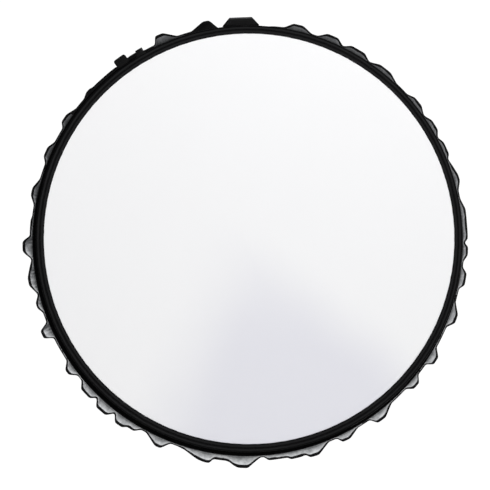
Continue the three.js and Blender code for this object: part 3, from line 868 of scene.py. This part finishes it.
def margin_stitches(front, outward):
    """One row just inside the cord and one close to the seam, both on the silver side."""
    for name, column in (("margin_cord_stitches", -3), ("margin_seam_stitches", 2)):
        line = front[:, column, :] + 0.12 * MM * outward
        path = rim_points(fine_angle, line[:, 0], line[:, 1])
        normal = rim_points(fine_angle, outward[:, 0], outward[:, 1])
        stitch_row(name, (path, normal), pitch=3.2 * MM, slant=0.1)


# ---------------------------------------------------------------- tab, slider and hard parts


def softened(name, node, width, material, body="panel", segments=3):
    """A copy of a CAD piece with its edges rounded, in the place of the plain one."""
    mesh = nodes[node].data.copy()
    piece = bpy.data.objects.new(name, mesh)
    bpy.context.scene.collection.objects.link(piece)
    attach(piece, body)
    weld = piece.modifiers.new("weld", "WELD")
    weld.merge_threshold = 0.02 * MM
    bevel = piece.modifiers.new("rounded_edges", "BEVEL")
    bevel.width = width
    bevel.segments = segments
    bevel.limit_method = "ANGLE"
    bevel.angle_limit = math.radians(28)
    bevel.harden_normals = True
    for face in mesh.polygons:
        face.use_smooth = True
    paint(piece, material)
    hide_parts(node)


def straight_stitches(name, start, end, up, body="panel", **look):
    points = np.linspace(start, end, 40)
    outward = np.tile(up, (40, 1)).astype(float)
    stitch_row(name, (points, outward), body=body, **look)


def hanging_tab():
    """Folded webbing with a box of stitches low on its front and a bar tack at each side."""
    softened("hanging_webbing_tab", "hanging_loop", 0.7 * MM, webbing_tab, segments=4)
    low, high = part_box("hanging_loop")
    middle = (low[0] + high[0]) / 2
    face = low[1] - 0.1 * MM
    base, top = high[2] - 20.5 * MM, high[2] - 10 * MM
    corners = {}
    for side, reach in ((-1, 30 * MM), (1, 30 * MM)):
        for level, height in (("low", base), ("high", top)):
            across = side * (reach if level == "low" else reach - 4 * MM)
            corners[side, level] = (middle + across, face, height + TAB_SLOPE * across)
    lines = [
        ("low_left", (-1, "low"), (1, "low")), ("high", (-1, "high"), (1, "high")),
        ("left", (-1, "low"), (-1, "high")), ("right", (1, "low"), (1, "high")),
    ]
    for label, first, second in lines:
        straight_stitches(f"tab_stitches_{label}", corners[first], corners[second], (0, -1, 0),
                          pitch=3 * MM, length=2.4 * MM, width=0.7 * MM)
    for side in (-1, 1):
        for number in range(3):
            across = middle + side * (33 + 1.3 * number) * MM
            level = base + TAB_SLOPE * (across - middle)
            foot = (across, face, level)
            head = (across - side * 0.4 * MM, face, level + 6 * MM)
            straight_stitches(f"tab_tack_{side + 1}_{number}", foot, head, (0, -1, 0),
                              pitch=0.9 * MM, length=1.5 * MM, width=0.8 * MM, slant=1.2)


def zip_hardware():
    softened("zip_slider_casting", "zip_slider", 0.35 * MM, enamel_metal, "slider")
    softened("zip_pull_wire", "zip_pull_link", 0.3 * MM, enamel_metal, "pull")
    softened("zip_pull_rubber", "zip_pull_grip", 0.9 * MM, grip_rubber, "pull", 4)
    softened("zip_stop_closed_clip", "zip_stop_closed", 0.4 * MM, enamel_metal)
    softened("zip_stop_open_clip", "zip_stop_open", 0.4 * MM, enamel_metal)
    grip_ribs()


def grip_ribs():
    """Raised ribs moulded on both sides of the pull's grip."""
    low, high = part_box("zip_pull_grip")
    centre = np.array([(low[0] + high[0]) / 2, 0.0, (low[2] + high[2]) / 2])
    outward = unit(centre)
    along = np.array([outward[2], 0.0, -outward[0]])
    template, faces = capsule(6)
    for label, depth, facing in (("front", low[1], -1.0), ("rear", high[1], 1.0)):
        shifts = np.linspace(-11, 9, 6) * MM
        places = centre[None, :] + shifts[:, None] * along[None, :] + np.array([0, depth, 0])[None, :]
        direction = np.tile(outward, (6, 1))
        up = np.tile((0.0, facing, 0.0), (6, 1))
        piece = copies(f"zip_pull_ribs_{label}", template, faces, places, direction, up,
                       (18 * MM, 1.6 * MM, 1.0 * MM), "pull")
        smooth = piece.modifiers.new("round", "SUBSURF")
        smooth.levels = smooth.render_levels = 2
        paint(piece, grip_rubber)


def inner_parts():
    """What the closed cover hides: the spring band, its splice and the core's casing."""
    softened("spring_band", "hoop_band", 0.15 * MM, spring_steel)
    softened("spring_splice_sleeve", "hoop_splice_sleeve", 0.2 * MM, brass_metal)
    softened("core_edge_casing", "core_casing", 0.25 * MM, casing_cloth, segments=2)


def rim_parts():
    front_binding()
    tape_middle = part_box("zip_tape_front")[1][1]
    front_row = WALL_FRONT + 1.6 * MM
    rear_row = WALL_BACK - 1.6 * MM
    rim_strip("zip_tape_front_weave", "zip_tape_front", zip_cloth, stitched=(front_row,))
    rim_strip("zip_tape_rear_weave", "zip_tape_rear", zip_cloth, stitched=(rear_row,))
    rows = (front_row, tape_middle, rear_row)
    rim_strip("rim_band_tape", "rim_band", rim_tape, stitched=rows)
    zip_coil("zip_coil_front_loops", "zip_coil_front", 0.25)
    zip_coil("zip_coil_rear_loops", "zip_coil_rear", 0.75)
    rear_gusset()


# ---------------------------------------------------------------- studio


def studio_floor():
    size = 14.0
    cells = 24
    level = -1.25
    line = np.linspace(-size / 2, size / 2, cells + 1)
    across, along = np.meshgrid(line, line, indexing="ij")
    points = np.stack([across, along, 0 * along + level], axis=-1).reshape(-1, 3)
    corner = (np.arange(cells)[:, None] * (cells + 1) + np.arange(cells)[None, :]).reshape(-1)
    faces = np.stack([corner, corner + cells + 1, corner + cells + 2, corner + 1], axis=-1)
    mesh = bpy.data.meshes.new("floor")
    mesh.from_pydata(points.tolist(), [], faces.tolist())
    floor = bpy.data.objects.new("floor", mesh)
    bpy.context.scene.collection.objects.link(floor)
    material, shader, tree, add = start_material("pale_floor", (0.9, 0.9, 0.9), 0.8)
    place = place_of(add, "object")
    speckle = noise(add, place, 9.0, 4.0)
    tree.links.new(ramp(add, speckle, (0.9, 0.9, 0.9), (0.94, 0.94, 0.94)), shader.inputs["Base Color"])
    shader.inputs["Emission Color"].default_value = (1, 1, 1, 1)
    shader.inputs["Emission Strength"].default_value = 0.9
    mesh.materials.append(material)


def studio_world():
    """White all round for the camera. As light it is bright below and to the right, and dim above."""
    world = bpy.data.worlds.new("studio")
    bpy.context.scene.world = world
    world.use_nodes = True
    tree = world.node_tree
    tree.nodes.clear()
    output = tree.nodes.new("ShaderNodeOutputWorld")
    seen = tree.nodes.new("ShaderNodeBackground")
    seen.inputs["Color"].default_value = (1, 1, 1, 1)
    seen.inputs["Strength"].default_value = 1.05
    light = tree.nodes.new("ShaderNodeBackground")
    light.inputs["Strength"].default_value = 1.0
    place = tree.nodes.new("ShaderNodeTexCoord")
    split = tree.nodes.new("ShaderNodeSeparateXYZ")
    tree.links.new(place.outputs["Generated"], split.inputs["Vector"])
    fall = tree.nodes.new("ShaderNodeValToRGB")
    lift = tree.nodes.new("ShaderNodeMapRange")
    lift.inputs["From Min"].default_value = -1
    slope = tree.nodes.new("ShaderNodeMath")
    slope.operation = "MULTIPLY_ADD"
    slope.inputs[1].default_value = -0.3
    tree.links.new(split.outputs["X"], slope.inputs[0])
    tree.links.new(split.outputs["Z"], slope.inputs[2])
    tree.links.new(slope.outputs["Value"], lift.inputs["Value"])
    tree.links.new(lift.outputs["Result"], fall.inputs["Fac"])
    fall.color_ramp.elements[0].position = 0.25
    fall.color_ramp.elements[0].color = (0.95, 0.95, 0.97, 1)
    fall.color_ramp.elements[1].position = 0.75
    fall.color_ramp.elements[1].color = (0.1, 0.1, 0.105, 1)
    tree.links.new(fall.outputs["Color"], light.inputs["Color"])
    kind = tree.nodes.new("ShaderNodeLightPath")
    chosen = tree.nodes.new("ShaderNodeMixShader")
    tree.links.new(kind.outputs["Is Camera Ray"], chosen.inputs["Fac"])
    tree.links.new(light.outputs["Background"], chosen.inputs[1])
    tree.links.new(seen.outputs["Background"], chosen.inputs[2])
    tree.links.new(chosen.outputs["Shader"], output.inputs["Surface"])


def soft_box(name, place, target, size, power):
    lamp = bpy.data.lights.new(name, "AREA")
    lamp.shape = "RECTANGLE"
    lamp.size, lamp.size_y = size
    lamp.energy = power
    holder = bpy.data.objects.new(name, lamp)
    holder.location = place
    holder.rotation_euler = (Vector(target) - Vector(place)).to_track_quat("-Z", "Y").to_euler()
    bpy.context.scene.collection.objects.link(holder)


def studio_lights():
    soft_box("key_above_front", (0.7, -2.3, 2.1), (0, 0, 0.1), (1.8, 1.2), 48)
    soft_box("fill_left", (-3.0, -2.4, 0.6), (0, 0, 0), (1.6, 2.0), 6)


def studio_camera():
    """Straight on to the face, a little left of and below its centre."""
    lens, sensor = 85.0, 36.0
    face_width_in_view = 1.256
    camera = bpy.data.cameras.new("camera")
    camera.lens = lens
    camera.sensor_width = sensor
    camera.clip_end = 100
    holder = bpy.data.objects.new("camera", camera)
    distance = face_width_in_view * lens / sensor
    holder.location = (-10.5 * MM, -distance, -15.7 * MM)
    holder.rotation_euler = (math.pi / 2, 0, 0)
    bpy.context.scene.collection.objects.link(holder)
    bpy.context.scene.camera = holder


lay_cloths()
rim_parts()
ruffled_margin()
hanging_tab()
zip_hardware()
inner_parts()
studio_floor()
studio_world()
studio_lights()
studio_camera()
bpy.context.scene.view_settings.view_transform = "Standard"
